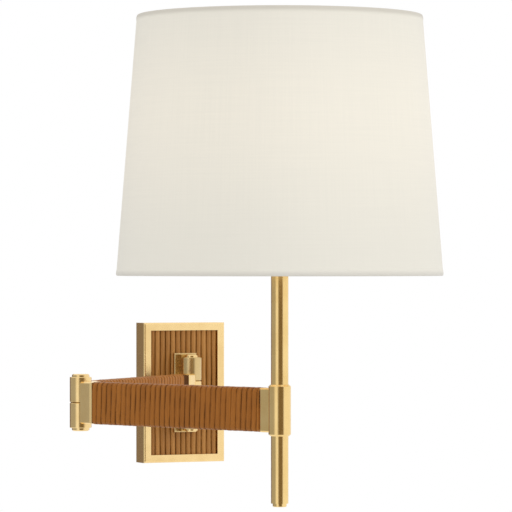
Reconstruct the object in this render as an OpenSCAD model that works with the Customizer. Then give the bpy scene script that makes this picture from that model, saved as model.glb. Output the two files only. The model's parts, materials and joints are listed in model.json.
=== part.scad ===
// Swing arm wall sconce: a framed backplate, two wrapped arms on barrel hinges,
// and a round stem that carries a socket, a harp and a tapered drum shade.
// Origin: centre of the backplate on the wall. The wall is the plane y = 0,
// the sconce stands out towards -Y, and +Z is up.

/* [Backplate] */
// Width of the backplate frame
plate_w = 85.4; // [80:0.2:110]
// Height of the backplate frame
plate_h = 135.8; // [130:0.2:170]
// How far the frame's front face stands off the wall
plate_t = 19.5; // [18.5:0.5:21]
// Width of the frame's front border
plate_border = 7.5; // [7:0.5:10]
// Radius of the frame's front edges
plate_round = 1.8; // [0.6:0.1:2]
// Thickness of the frame's side walls
plate_wall = 2; // [1.6:0.2:2.4]
// Thickness of the front border
lip_t = 4.3; // [4.2:0.1:5]
// Thickness of the panel board behind the border
board_t = 3; // [2.5:0.5:3.5]
// Number of vertical reeds in the panel
reed_count = 13; // [11:1:17]
// Gap between neighbouring reeds
reed_gap = 0.16; // [0.1:0.02:0.4]

/* [Wall strap] */
// Width of the mounting strap
strap_w = 20; // [18:1:24]
// Thickness of the mounting strap
strap_t = 2; // [1.6:0.2:2.4]
// Distance between the centres of the two box screw slots
box_spacing = 86.1; // [83:0.1:89]
// Length of each box screw slot, end to end
slot_len = 12; // [10:0.5:14]
// Width of each box screw slot
slot_w = 4.6; // [4:0.1:5]

/* [Hinges] */
// Distance of the wall hinge axis from the wall
hinge_out = 36.5; // [36:0.5:44]
// Diameter of the hinge barrels
barrel_d = 19.7; // [19:0.1:20.6]
// Height of the three knuckles of the wall hinge together
wall_barrel_h = 69.2; // [66:0.2:80]
// Height of the wall hinge's middle knuckle with its two washers
wall_mid_h = 24; // [20:0.5:28]
// Height of the two knuckles of the elbow hinge together
elbow_barrel_h = 46; // [42:0.5:56]
// Outer diameter of the hollow hinge pins
pin_d = 9; // [8:0.1:10]
// Bore of the hollow hinge pins
pin_bore_d = 5.2; // [4.6:0.1:5.6]
// Diameter of the wall hinge's end caps
wall_cap_d = 12.3; // [11.5:0.1:14]
// Diameter of the elbow hinge's end caps
elbow_cap_d = 15.8; // [12:0.1:17]
// Height of every hinge end cap
cap_h = 2.6; // [2:0.1:4]
// Thickness of the washers between the knuckles
washer_t = 0.4; // [0.3:0.05:0.6]

/* [Bracket] */
// Width of the bracket's foot
foot_w = 23.3; // [22:0.1:26]
// Height of the bracket's foot
foot_h = 76.7; // [76:0.1:90]
// How far the foot's face stands in front of the frame
foot_proud = 3; // [2.4:0.1:3.4]
// Width of the bracket's body behind the barrels
body_w = 15.6; // [13:0.1:15.8]
// How far the body's top and bottom pass the barrels
body_rise = 2.6; // [2:0.1:3]

/* [Arms] */
// Length of each arm, from axis to axis
arm_len = 250; // [200:1:320]
// Height of the arms at their ferrules
arm_h = 38; // [36:0.5:40]
// Thickness of the arms at their ferrules
arm_t = 14.5; // [14:0.1:14.8]
// Reach of the elbow ferrules from the elbow axis
elbow_reach = 21.5; // [17:0.5:26]
// Reach of the wall ferrule from the wall hinge axis
wall_reach = 21; // [17:0.5:26]
// Reach of the stem ferrule from the stem axis
stem_reach = 18; // [17:0.5:26]
// Length of the tenon of each ferrule inside the arm tube
tenon_len = 12; // [8:0.5:20]
// Wall of the arm tubes
arm_wall = 1.8; // [1.5:0.1:2.4]
// Thickness of the rattan strand
strand_t = 1.5; // [1.2:0.05:1.6]
// Width of the rattan strand
strand_w = 5.85; // [4:0.05:7]
// Groove between two turns of the strand
strand_gap = 0.4; // [0.35:0.05:0.8]
// Bare length of the rear arm next to its wall ferrule
wall_bare = 9; // [2:0.5:14]
// Bare length of both arms next to their elbow ferrules
elbow_bare = 2.4; // [2:0.1:8]
// Bare length of the front arm next to its stem ferrule
stem_bare = 1.5; // [1.5:0.1:8]
// Lean of the turns from the vertical
strand_lean = 3; // [0:0.5:4]
// Swing of the rear arm to the left of straight out
rear_swing = 47; // [-79:1:79]
// Swing of the front arm to the right of straight out
front_swing = 21.2; // [-28:0.2:38]

/* [Stem] */
// Outer diameter of the stem
stem_d = 15; // [14:0.1:16]
// Wall of the stem tube
stem_wall = 1.25; // [1:0.05:1.6]
// Height of the stem's upper end above the arms' centre line
stem_top = 140; // [136:1:146]
// Depth of the stem tube's lower end below the arms' centre line
stem_drop = 79.5; // [60:0.5:120]
// Diameter of the cap under the stem
foot_cap_d = 12; // [10:0.1:13]
// Height of the cap under the stem
foot_cap_h = 2.9; // [2:0.1:6]
// Outer diameter of the sleeve that holds the stem
sleeve_d = 19.3; // [19.2:0.1:22]
// Height of the sleeve
sleeve_h = 44; // [41:0.5:60]

/* [Shade] */
// Outer diameter of the shade at the bottom
shade_bottom_d = 279.4; // [260:0.2:340]
// Outer diameter of the shade at the top
shade_top_d = 244; // [220:1:300]
// Height of the shade
shade_h = 222.5; // [216:0.5:230]
// Height of the shade's lower edge above the arms' centre line
shade_lift = 115; // [105:0.5:118]
// Thickness of the shade's wall
shade_wall = 1; // [0.8:0.1:2]
// Height of the hem tapes
hem_h = 5; // [4:0.5:12]
// Thickness of the hem tapes
hem_t = 0.4; // [0.3:0.05:0.8]
// Diameter of the shade's ring wire
ring_wire_d = 3; // [2.5:0.1:4]

/* [Lamp holder] */
// Height of the harp, from its saddle to its upper pad
harp_h = 178; // [170:1:186]
// Widest span of the harp, between wire centres
harp_span = 110; // [96:1:120]
// Span of the harp's two feet
harp_foot_span = 58; // [54:1:66]
// Diameter of the harp wire
harp_wire_d = 4; // [3.4:0.1:4.4]
// Outer diameter of the socket shell
socket_d = 34; // [34:0.5:38]
// Height of the socket shell
socket_h = 40; // [36:0.5:44]
// Diameter of the bulb
bulb_d = 60; // [45:1:65]
// Height of the bulb's glass
bulb_h = 85; // [80:1:90]

/* [Hidden] */
$fn = 64;

// Clearances
run_gap = 0.05;     // running fit, on the radius
seat_gap = 0.02;    // fit between fixed pieces
turn_gap = 0.2;     // between a knuckle and the pocket that it turns in
edge = 0.5;         // broken edge of brass pieces
arm_edge = 1.3;     // broken edge of the arms' rectangular section
bevel_len = 2.2;    // bevel at the end of each ferrule, along the arm
bevel_in = 0.8;     // and across it
over = 1;           // how far a cut runs past its solid
eps = 0.01;

// Backplate
open_w = plate_w - 2 * plate_border;
open_h = plate_h - 2 * plate_border;
pocket_w = plate_w - 2 * plate_wall;
pocket_h = plate_h - 2 * plate_wall;
lip_back = plate_t - lip_t;
board_back = lip_back - board_t;
reed_pitch = open_w / reed_count;
reed_r = (reed_pitch - reed_gap) / 2;
reed_crest = lip_back + reed_r;
foot_face = plate_t + foot_proud;

// Screws: shank radius, head radius, head height
panel_screw = [1.4, 2.3, 1.6];
bracket_screw = [2, 3.6, 2.4];
frame_screw = [1.6, 2.9, 1.3];
ground_screw = [2, 3.8, 2];
panel_screw_bite = 3.2;
bracket_screw_z = 30;
bracket_screw_bite = 6;
ear_len = 10;
frame_screw_out = 6;
frame_screw_len = 7;
ground_z = 20;
wire_r = 3;

// Hinges
barrel_r = barrel_d / 2;
pocket_r = barrel_r + turn_gap;
pin_r = pin_d / 2;
washer_r = barrel_r - 0.8;
half_gap = (washer_t + 0.1) / 2;
wall_half = wall_barrel_h / 2;
wall_mid_half = wall_mid_h / 2 - half_gap;
wall_split = wall_mid_h / 2 + half_gap;
elbow_half = elbow_barrel_h / 2;
stud_len = 6;
cap_clear = 0.1;
cap_break = 0.9;
wire_up = 6;
wire_bore_r = pin_bore_d / 2;
wire_ease = 0.4;

// Arms
strand_room = [0.05, 0.15];  // between the tube and the strand, at the sides and at the top
core_h = arm_h - 2 * strand_t - 2 * strand_room[1];
core_t = arm_t - 2 * strand_t - 2 * strand_room[0];
tenon_h = core_h - 2 * arm_wall - 2 * seat_gap;
tenon_t = core_t - 2 * arm_wall - 2 * seat_gap;
strand_crown = 0.5;
strand_corner = 2;
rear_heading = -90 - rear_swing;
front_heading = -90 + front_swing;
elbow_at = [arm_len * cos(rear_heading), -hinge_out + arm_len * sin(rear_heading), 0];
stem_at = elbow_at + arm_len * [cos(front_heading), sin(front_heading), 0];

// Stem and lamp holder, heights from the arms' centre line
stem_r = stem_d / 2;
tube_r = stem_r - stem_wall;
sleeve_r = sleeve_d / 2;
sleeve_break = 1.5;
keep_z = -15;
keep_h = 1.6;
keep_in = stem_r - 0.5;
keep_out = stem_r + 0.9;
nipple_r = 5;
nipple_bore = 3.2;
plug_h = 8;
saddle_t = 2;
saddle_w = 12;
saddle_ear_h = 12;
tang_h = 6;
harp_r = harp_wire_d / 2;
harp_foot_z = stem_top + saddle_ear_h + tang_h;
harp_top_z = stem_top + harp_h;
sleeve_len = 14;
sleeve_wall = 1.2;
harp_leg = 8;
harp_bend = 40;
harp_pad_r = 7;
harp_pad_h = 5;
harp_pad_lap = 1;
stud_h = 13;
socket_r = socket_d / 2;
socket_z = stem_top + saddle_t;
socket_cap_h = 16;
socket_cap_t = 1;
socket_neck_r = 12;
cap_inset = 0.3;
shell_z = socket_z + socket_cap_h;
shell_t = 0.8;
liner_t = 1;
screw_shell_t = 0.6;
liner_down = 2;      // how far the liner and the screw shell stop below the outer shell
screw_shell_down = 3;
holder_h = 12;
key_z = shell_z + holder_h / 2;
key_r = 2;
key_grip = 14;
key_reach = 12;
key_corner = 2;
key_waist = 6;
key_blade_t = 3;
key_blade_out = 2;
key_foot_in = 0.5;
base_h = 24;
base_tip = 4;
base_room = 0.9;
base_z = shell_z + holder_h + base_tip;
base_r = socket_r - shell_t - liner_t - screw_shell_t - base_room;
glass_z = base_z + base_h;
bulb_r = bulb_d / 2;
glass_t = 1;
neck_r = base_r + 0.6;

// Shade
shade_top = shade_lift + shade_h;
ring_r = ring_wire_d / 2;
ring_inset = 4;
washer_hub_r = 12;
washer_hub_h = 2;
spider_arms = 3;
spider_lap = 2;
spider_thin = 0.6;
stud_r = 3;
finial_r = 6;
finial_rim = 1.6;

// ---- Frames of the moving groups ----

// X runs along the rear arm, away from the wall hinge
module on_rear_arm() {
    translate([0, -hinge_out, 0]) rotate([0, 0, rear_heading]) children();
}

// X runs back along the rear arm, away from the elbow
module on_rear_arm_from_elbow() {
    translate(elbow_at) rotate([0, 0, rear_heading + 180]) children();
}

// X runs along the front arm, away from the elbow
module on_front_arm() {
    translate(elbow_at) rotate([0, 0, front_heading]) children();
}

// X runs back along the front arm, away from the stem
module on_front_arm_from_stem() {
    translate(stem_at) rotate([0, 0, front_heading + 180]) children();
}

// The stem's own frame, parallel to the room
module on_stem() {
    translate(stem_at) children();
}

// ---- Shared shapes ----

// Turned bar with broken edges, standing on z = 0
module turned_bar(r, h, break_by = edge) {
    rotate_extrude()
        polygon([[0, 0], [r - break_by, 0], [r, break_by], [r, h - break_by], [r - break_by, h], [0, h]]);
}

// Rectangle with broken corners, lying in the YZ plane and drawn out along X
module arm_block(x0, x1, thick, high, corner) {
    y = thick / 2;
    z = high / 2;
    c = corner;
    translate([x0, 0, 0]) rotate([90, 0, 90]) linear_extrude(x1 - x0)
        polygon([[-y + c, -z], [y - c, -z], [y, -z + c], [y, z - c], [y - c, z], [-y + c, z],
            [-y, z - c], [-y, -z + c]]);
}

// Pipe standing on z = 0
module pipe(r_out, r_in, h) {
    difference() {
        cylinder(r = r_out, h = h);
        translate([0, 0, -over]) cylinder(r = r_in, h = h + 2 * over);
    }
}

// Screw along +Z with its head's underside on z = 0 and the head above
module screw(size, bite) {
    translate([0, 0, -bite]) cylinder(r = size[0], h = bite + eps);
    cylinder(r = size[1], h = size[2]);
}

// Outline of a bar from the origin along X, with its far corners bevelled
module bevelled_bar(reach, half) {
    polygon([[0, -half], [reach - bevel_len, -half], [reach, bevel_in - half], [reach, half - bevel_in],
        [reach - bevel_len, half], [0, half]]);
}

// Ferrule body with a bevelled end, and the tenon that enters the arm tube
module ferrule_body(reach) {
    intersection() {
        arm_block(0, reach, arm_t, arm_h, arm_edge);
        linear_extrude(arm_h, center = true) bevelled_bar(reach, arm_t / 2);
        rotate([90, 0, 0]) linear_extrude(arm_t, center = true) bevelled_bar(reach, arm_h / 2);
    }
    arm_block(reach - eps, reach + tenon_len, tenon_t, tenon_h, arm_edge / 2);
}

// End cap of a hinge, with the stud that enters the hollow pin, standing on z = 0
module hinge_cap(cap_d) {
    rotate_extrude()
        polygon([[0, -stud_len], [pin_bore_d / 2 - seat_gap, -stud_len], [pin_bore_d / 2 - seat_gap, 0],
            [cap_d / 2, 0], [cap_d / 2, cap_h - cap_break], [cap_d / 2 - cap_break, cap_h], [0, cap_h]]);
}

// Arm tube between the ferrules, in its arm's frame
module arm_tube(x0, x1) {
    difference() {
        arm_block(x0, x1, core_t, core_h, arm_edge);
        arm_block(x0 - over, x1 + over, core_t - 2 * arm_wall, core_h - 2 * arm_wall, arm_edge / 2);
    }
}

// Section of the strand: its flat back on x = 0, its crown towards +X
module strand_section() {
    w = strand_w / 2;
    polygon([[0, -w], [strand_t - strand_crown, -w], [strand_t, -w + strand_crown],
        [strand_t, w - strand_crown], [strand_t - strand_crown, w], [0, w]]);
}

// One turn of the strand round the arm tube, centred on the origin, in the YZ plane
module strand_turn() {
    r = strand_corner;
    y = core_t / 2 + strand_room[0] - r;
    z = core_h / 2 + strand_room[1] - r;
    rotate([0, strand_lean, 0]) rotate([90, 0, 90]) for (side = [0, 1]) rotate([0, 0, 180 * side]) {
        translate([y + r, -z, 0]) rotate([-90, 0, 0]) linear_extrude(2 * z) mirror([0, 1]) strand_section();
        translate([y, z, 0]) rotate_extrude(angle = 90) translate([r, 0]) strand_section();
        translate([y, z + r, 0]) rotate([0, 0, 90]) rotate([-90, 0, 0]) linear_extrude(2 * y)
            mirror([0, 1]) strand_section();
        translate([-y, z, 0]) rotate([0, 0, 90]) rotate_extrude(angle = 90) translate([r, 0])
            strand_section();
    }
}

// All turns between two places along the arm
module strand_wrap(x0, x1) {
    pitch = strand_w + strand_gap;
    room = x1 - x0 - strand_w;
    turns = floor(room / pitch) + 1;
    first = (x0 + x1 - (turns - 1) * pitch) / 2;
    for (i = [0 : turns - 1]) translate([first + i * pitch, 0, 0]) strand_turn();
}

// ---- Wall group ----

// Box screw slot through the strap, centred on the origin, long along Z
module slot_cut() {
    half = (slot_len - slot_w) / 2;
    for (z = [-half, half]) translate([0, over, z]) rotate([90, 0, 0])
        cylinder(d = slot_w, h = strap_t + 2 * over);
    translate([-slot_w / 2, -strap_t - over, -half]) cube([slot_w, strap_t + 2 * over, 2 * half]);
}

module mounting_strap() {
    half = pocket_h / 2 - run_gap;
    color("silver") difference() {
        union() {
            translate([-strap_w / 2, -strap_t, -half]) cube([strap_w, strap_t, 2 * half]);
            for (side = [0, 1]) mirror([0, 0, side]) translate([-strap_w / 2, -ear_len, half - strap_t])
                cube([strap_w, ear_len, strap_t]);
        }
        for (z = [-1, 1] * box_spacing / 2) translate([0, 0, z]) slot_cut();
        for (side = [0, 1]) mirror([0, 0, side]) translate([0, -frame_screw_out, half - strap_t - over])
            cylinder(r = frame_screw[0] + seat_gap, h = strap_t + 2 * over);
        translate([0, over, ground_z]) rotate([90, 0, 0])
            cylinder(r = ground_screw[0] + seat_gap, h = strap_t + 2 * over);
    }
}

module ground_screw() {
    color("forestgreen") translate([0, -strap_t, ground_z]) rotate([90, 0, 0]) screw(ground_screw, strap_t);
}

// Section of the plate across one of its widths, with rounded front corners
module plate_section(w) {
    r = plate_round;
    translate([-w / 2, r - plate_t]) square([w, plate_t - r]);
    translate([r - w / 2, -plate_t]) square([w - 2 * r, plate_t]);
    for (x = [-1, 1]) translate([x * (w / 2 - r), r - plate_t]) circle(r = r);
}

module backplate_frame() {
    color("goldenrod") difference() {
        intersection() {
            translate([0, 0, -plate_h / 2]) linear_extrude(plate_h) plate_section(plate_w);
            translate([-plate_w / 2, 0, 0]) rotate([0, 90, 0]) linear_extrude(plate_w) plate_section(plate_h);
        }
        translate([-pocket_w / 2, -lip_back, -pocket_h / 2]) cube([pocket_w, lip_back + over, pocket_h]);
        translate([-open_w / 2, -plate_t - over, -open_h / 2]) cube([open_w, plate_t, open_h]);
        for (side = [0, 1]) mirror([0, 0, side]) translate([0, -frame_screw_out, pocket_h / 2 - over])
            cylinder(r = frame_screw[0] + seat_gap, h = plate_wall + 2 * over);
        for (side = [0, 1]) mirror([0, 0, side]) translate([0, -frame_screw_out, plate_h / 2 - frame_screw[2]])
            cylinder(r1 = frame_screw[0] + seat_gap, r2 = frame_screw[1] + seat_gap, h = frame_screw[2] + eps);
        panel_screw_places() cylinder(r = panel_screw[0] + seat_gap, h = 2 * (panel_screw_bite + board_t),
            center = true);
    }
}

module frame_screws() {
    color("goldenrod") for (side = [0, 1]) mirror([0, 0, side]) {
        translate([0, -frame_screw_out, plate_h / 2 - frame_screw_len]) cylinder(r = frame_screw[0],
            h = frame_screw_len);
        translate([0, -frame_screw_out, plate_h / 2 - frame_screw[2]])
            cylinder(r1 = frame_screw[0], r2 = frame_screw[1], h = frame_screw[2]);
    }
}

// Places of the panel screws, on the board's back, with +Z out of the back
module panel_screw_places() {
    x = (open_w / 2 + pocket_w / 2) / 2;
    z = (open_h / 2 + pocket_h / 2) / 2;
    for (sx = [-1, 1]) for (sz = [-1, 1]) translate([sx * x, -board_back, sz * z]) rotate([-90, 0, 0]) children();
}

// Places of the bracket screws, on the board's back, with +Z out of the back
module bracket_screw_places() {
    for (z = [-1, 1] * bracket_screw_z) translate([0, -board_back, z]) rotate([-90, 0, 0]) children();
}

module panel_board() {
    w = pocket_w - 2 * run_gap;
    h = pocket_h - 2 * run_gap;
    cut = 2 * (board_t + over);
    color("sienna") difference() {
        translate([-w / 2, -lip_back, -h / 2]) cube([w, board_t, h]);
        panel_screw_places() cylinder(r = panel_screw[0] + seat_gap, h = cut, center = true);
        bracket_screw_places() cylinder(r = bracket_screw[0] + seat_gap, h = cut, center = true);
        translate([0, -board_back, wall_split + wire_up]) rotate([90, 0, 0]) cylinder(r = wire_r, h = cut,
            center = true);
    }
}

module panel_screws() {
    color("silver") panel_screw_places() screw(panel_screw, board_t + panel_screw_bite - seat_gap);
}

module panel_reeds() {
    h = open_h - 2 * run_gap;
    color("peru") difference() {
        for (i = [0 : reed_count - 1]) translate([(i + 0.5) * reed_pitch - open_w / 2, -lip_back, -h / 2])
            linear_extrude(h) intersection() {
                circle(r = reed_r);
                translate([-reed_pitch, -2 * reed_pitch]) square(2 * reed_pitch);
            }
        translate([-foot_w / 2 - run_gap, -foot_face, -foot_h / 2 - run_gap])
            cube([foot_w + 2 * run_gap, foot_face, foot_h + 2 * run_gap]);
    }
}

module hinge_bracket() {
    rise = wall_half + body_rise;
    cap_room = wall_cap_d / 2 + turn_gap;
    color("goldenrod") difference() {
        union() {
            difference() {
                translate([-foot_w / 2, -foot_face, -foot_h / 2]) cube([foot_w, foot_face - lip_back, foot_h]);
                for (x = [-1, 1]) translate([x * foot_w / 2, -foot_face, 0]) rotate([0, 0, 45])
                    cube([edge, edge, foot_h + over] * sqrt(2), center = true);
                for (z = [-1, 1]) translate([0, -foot_face, z * foot_h / 2]) rotate([45, 0, 0])
                    cube([foot_w + over, edge, edge] * sqrt(2), center = true);
            }
            translate([-body_w / 2, -hinge_out + cap_room, -rise])
                cube([body_w, hinge_out - cap_room - foot_face + over, 2 * rise]);
            translate([-body_w / 2, -hinge_out, -wall_half + edge])
                cube([body_w, hinge_out - foot_face + over, 2 * (wall_half - edge)]);
            for (side = [0, 1]) mirror([0, 0, side]) translate([0, -hinge_out, wall_split])
                turned_bar(barrel_r, wall_half - wall_split);
        }
        translate([0, -hinge_out, -wall_split]) cylinder(r = pocket_r, h = 2 * wall_split);
        translate([0, -hinge_out, -rise]) cylinder(r = pin_r + seat_gap, h = 2 * rise);
        bracket_screw_places() cylinder(r = bracket_screw[0] + seat_gap, h = 2 * (board_t + bracket_screw_bite),
            center = true);
        translate([0, -hinge_out, wall_split + wire_up]) rotate([-90, 0, 0]) cylinder(r = wire_bore_r, h = hinge_out);
    }
}

module bracket_screws() {
    color("silver") bracket_screw_places() screw(bracket_screw, board_t + bracket_screw_bite - seat_gap);
}

module wall_pin() {
    color("silver") difference() {
        translate([0, -hinge_out, -wall_half]) pipe(pin_r, pin_bore_d / 2, wall_barrel_h);
        translate([0, -hinge_out, wall_split + wire_up]) rotate([-90, 0, 0])
            cylinder(r = wire_bore_r - wire_ease, h = hinge_out);
        translate([0, -hinge_out, 0]) rotate([90, 0, 0]) cylinder(r = wire_bore_r - wire_ease, h = pin_d);
    }
}

module wall_pin_caps() {
    color("goldenrod") translate([0, -hinge_out, 0]) for (side = [0, 1]) mirror([0, 0, side])
        translate([0, 0, wall_half]) hinge_cap(wall_cap_d);
}

// ---- Rear arm ----

module rear_wall_ferrule() {
    color("goldenrod") on_rear_arm() difference() {
        union() {
            difference() {
                ferrule_body(wall_reach);
                for (side = [0, 1]) mirror([0, 0, side]) translate([0, 0, wall_mid_half])
                    cylinder(r = pocket_r, h = arm_h);
            }
            translate([0, 0, -wall_mid_half]) turned_bar(barrel_r, 2 * wall_mid_half);
        }
        translate([0, 0, -arm_h]) cylinder(r = pin_r + run_gap, h = 2 * arm_h);
        rotate([0, 90, 0]) cylinder(r = wire_bore_r, h = arm_len);
    }
}

module wall_washers() {
    color("dimgray") on_rear_arm() for (side = [0, 1]) mirror([0, 0, side]) translate([0, 0, wall_mid_half])
        pipe(washer_r, pin_r + run_gap, washer_t);
}

module rear_arm_tube() {
    color("silver") on_rear_arm() arm_tube(wall_reach, arm_len - elbow_reach);
}

module rear_wrap() {
    color("sienna") on_rear_arm() strand_wrap(wall_reach + wall_bare, arm_len - elbow_reach - elbow_bare);
}

module rear_elbow_ferrule() {
    color("goldenrod") on_rear_arm_from_elbow() difference() {
        union() {
            difference() {
                ferrule_body(elbow_reach);
                translate([0, 0, -half_gap]) cylinder(r = pocket_r, h = arm_h);
            }
            translate([0, 0, -elbow_half]) turned_bar(barrel_r, elbow_half - half_gap);
        }
        translate([0, 0, -arm_h]) cylinder(r = pin_r + run_gap, h = 2 * arm_h);
        rotate([0, 90, 0]) cylinder(r = wire_bore_r, h = arm_len);
    }
}

module elbow_washer() {
    color("dimgray") translate(elbow_at) translate([0, 0, -half_gap]) pipe(washer_r, pin_r + run_gap, washer_t);
}

// ---- Front arm ----

module front_elbow_ferrule() {
    color("goldenrod") on_front_arm() difference() {
        union() {
            difference() {
                ferrule_body(elbow_reach);
                translate([0, 0, half_gap - arm_h]) cylinder(r = pocket_r, h = arm_h);
            }
            translate([0, 0, half_gap]) turned_bar(barrel_r, elbow_half - half_gap);
        }
        translate([0, 0, -arm_h]) cylinder(r = pin_r + seat_gap, h = 2 * arm_h);
        rotate([0, 90, 0]) cylinder(r = wire_bore_r, h = arm_len);
    }
}

module elbow_pin() {
    low = elbow_half + cap_clear;
    color("silver") difference() {
        translate(elbow_at) translate([0, 0, -low]) pipe(pin_r, pin_bore_d / 2, low + elbow_half);
        on_front_arm() rotate([0, 90, 0]) cylinder(r = wire_bore_r - wire_ease, h = pin_d);
    }
}

module elbow_pin_caps() {
    color("goldenrod") translate(elbow_at) {
        translate([0, 0, elbow_half]) hinge_cap(elbow_cap_d);
        mirror([0, 0, 1]) translate([0, 0, elbow_half + cap_clear]) hinge_cap(elbow_cap_d);
    }
}

module front_arm_tube() {
    color("silver") on_front_arm() arm_tube(elbow_reach, arm_len - stem_reach);
}

module front_wrap() {
    color("sienna") on_front_arm() strand_wrap(elbow_reach + elbow_bare, arm_len - stem_reach - stem_bare);
}

module front_stem_ferrule() {
    color("goldenrod") on_front_arm_from_stem() difference() {
        union() {
            ferrule_body(stem_reach);
            translate([0, 0, -sleeve_h / 2]) turned_bar(sleeve_r, sleeve_h, sleeve_break);
        }
        translate([0, 0, -sleeve_h]) cylinder(r = stem_r + run_gap, h = 2 * sleeve_h);
        translate([0, 0, keep_z - run_gap]) cylinder(r = keep_out + run_gap, h = keep_h + 2 * run_gap);
        rotate([0, 90, 0]) cylinder(r = wire_bore_r, h = arm_len);
    }
}

// ---- Stem, socket and bulb ----

module stem_tube() {
    color("goldenrod") difference() {
        on_stem() translate([0, 0, -stem_drop]) pipe(stem_r, tube_r, stem_drop + stem_top);
        on_stem() translate([0, 0, keep_z]) pipe(stem_d, keep_in, keep_h);
        on_front_arm_from_stem() rotate([0, 90, 0]) cylinder(r = wire_r, h = stem_d);
    }
}

module stem_foot_cap() {
    r = foot_cap_d / 2;
    plug = tube_r - seat_gap;
    color("goldenrod") on_stem() translate([0, 0, -stem_drop]) rotate_extrude()
        polygon([[0, -foot_cap_h], [r - edge, -foot_cap_h], [r, -foot_cap_h + edge], [r, 0], [plug, 0],
            [plug, plug_h], [0, plug_h]]);
}

module stem_keeper_ring() {
    color("dimgray") on_stem() translate([0, 0, keep_z]) pipe(keep_out, keep_in + seat_gap, keep_h);
}

module stem_plug() {
    color("goldenrod") on_stem() translate([0, 0, stem_top - plug_h])
        pipe(tube_r - seat_gap, nipple_r + seat_gap, plug_h);
}

module socket_nipple() {
    color("silver") on_stem() translate([0, 0, stem_top - plug_h])
        pipe(nipple_r, nipple_bore, plug_h + saddle_t + plug_h);
}

module harp_saddle() {
    half = harp_foot_span / 2;
    color("goldenrod") on_stem() translate([0, 0, stem_top]) difference() {
        union() {
            translate([-half - saddle_t / 2, -saddle_w / 2, 0]) cube([2 * half + saddle_t, saddle_w, saddle_t]);
            for (x = [-half, half]) translate([x - saddle_t / 2, -saddle_w / 2, 0])
                cube([saddle_t, saddle_w, saddle_ear_h]);
            for (x = [-half, half]) translate([x, 0, saddle_ear_h - harp_r - over]) cylinder(r = harp_r,
                h = tang_h + harp_r + over);
        }
        translate([0, 0, -over]) cylinder(r = nipple_r + seat_gap, h = saddle_t + 2 * over);
    }
}

// One side of the harp wire, from its foot to the pad
module harp_side() {
    foot = harp_foot_span / 2;
    wide = harp_span / 2;
    sweep = (wide - foot) / (2 * (1 - cos(harp_bend)));
    rise = 2 * sweep * sin(harp_bend);
    crown = wide - harp_pad_r + harp_r;
    z_bend = harp_foot_z + harp_leg;
    z_wide = z_bend + rise;
    z_crown = harp_top_z - harp_pad_h / 2 - crown;
    lap = 0.5;
    translate([foot, 0, harp_foot_z]) cylinder(r = harp_r + seat_gap, h = harp_leg + lap);
    translate([foot + sweep, 0, z_bend]) rotate([90, 0, 0]) rotate([0, 0, 180 - harp_bend])
        rotate_extrude(angle = harp_bend) translate([sweep, 0]) circle(r = harp_r);
    translate([(foot + wide) / 2, 0, z_bend + rise / 2]) rotate([0, harp_bend, 0])
        cylinder(r = harp_r + seat_gap, h = 2 * lap, center = true);
    translate([wide - sweep, 0, z_wide]) rotate([90, 0, 0]) rotate([0, 0, -harp_bend])
        rotate_extrude(angle = harp_bend) translate([sweep, 0]) circle(r = harp_r);
    translate([wide, 0, z_wide - lap]) cylinder(r = harp_r + seat_gap, h = z_crown - z_wide + 2 * lap);
    translate([wide - crown, 0, z_crown]) rotate([90, 0, 0]) rotate_extrude(angle = 90)
        translate([crown, 0]) circle(r = harp_r);
}

module harp() {
    color("goldenrod") on_stem() union() {
        harp_side();
        mirror([1, 0, 0]) harp_side();
        translate([0, 0, harp_top_z - harp_pad_h]) cylinder(r = harp_pad_r, h = harp_pad_h);
        translate([0, 0, harp_top_z - harp_pad_lap]) cylinder(r = stud_r, h = harp_pad_lap + stud_h);
    }
}

module harp_sleeves() {
    color("silver") on_stem() for (x = [-1, 1]) translate([x * harp_foot_span / 2, 0, stem_top + saddle_ear_h])
        pipe(harp_r + sleeve_wall, harp_r + 2 * seat_gap, sleeve_len);
}

module socket_cap() {
    r = socket_r - cap_inset;
    neck = socket_neck_r;
    t = socket_cap_t;
    h = socket_cap_h;
    color("goldenrod") on_stem() translate([0, 0, socket_z]) rotate_extrude()
        polygon([[nipple_r + seat_gap, 0], [neck, 0], [r - 2 * t, 0.3 * h], [r, 0.55 * h], [r, h], [r - t, h],
            [r - t, 0.55 * h + t / 2], [r - 3 * t, 0.3 * h + t], [neck - t / 2, 2 * t],
            [nipple_r + seat_gap, 2 * t]]);
}

// Hole for the switch key's shaft, along -Y
module key_hole(clearance) {
    translate([0, 0, key_z]) rotate([90, 0, 0]) cylinder(r = key_r + clearance, h = 2 * socket_r);
}

module socket_shell() {
    color("goldenrod") on_stem() difference() {
        translate([0, 0, shell_z]) pipe(socket_r, socket_r - shell_t, socket_h);
        key_hole(turn_gap);
    }
}

module socket_liner() {
    r = socket_r - shell_t - seat_gap;
    color("black") on_stem() difference() {
        translate([0, 0, shell_z]) pipe(r, r - liner_t, socket_h - liner_down);
        key_hole(turn_gap);
    }
}

module socket_holder() {
    r = socket_r - shell_t - liner_t - 2 * seat_gap;
    color("black") on_stem() difference() {
        translate([0, 0, shell_z]) cylinder(r = r, h = holder_h);
        key_hole(run_gap);
    }
}

module socket_screw_shell() {
    r = socket_r - shell_t - liner_t - 2 * seat_gap;
    color("goldenrod") on_stem() translate([0, 0, shell_z + holder_h])
        pipe(r, r - screw_shell_t, socket_h - holder_h - screw_shell_down);
}

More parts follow.
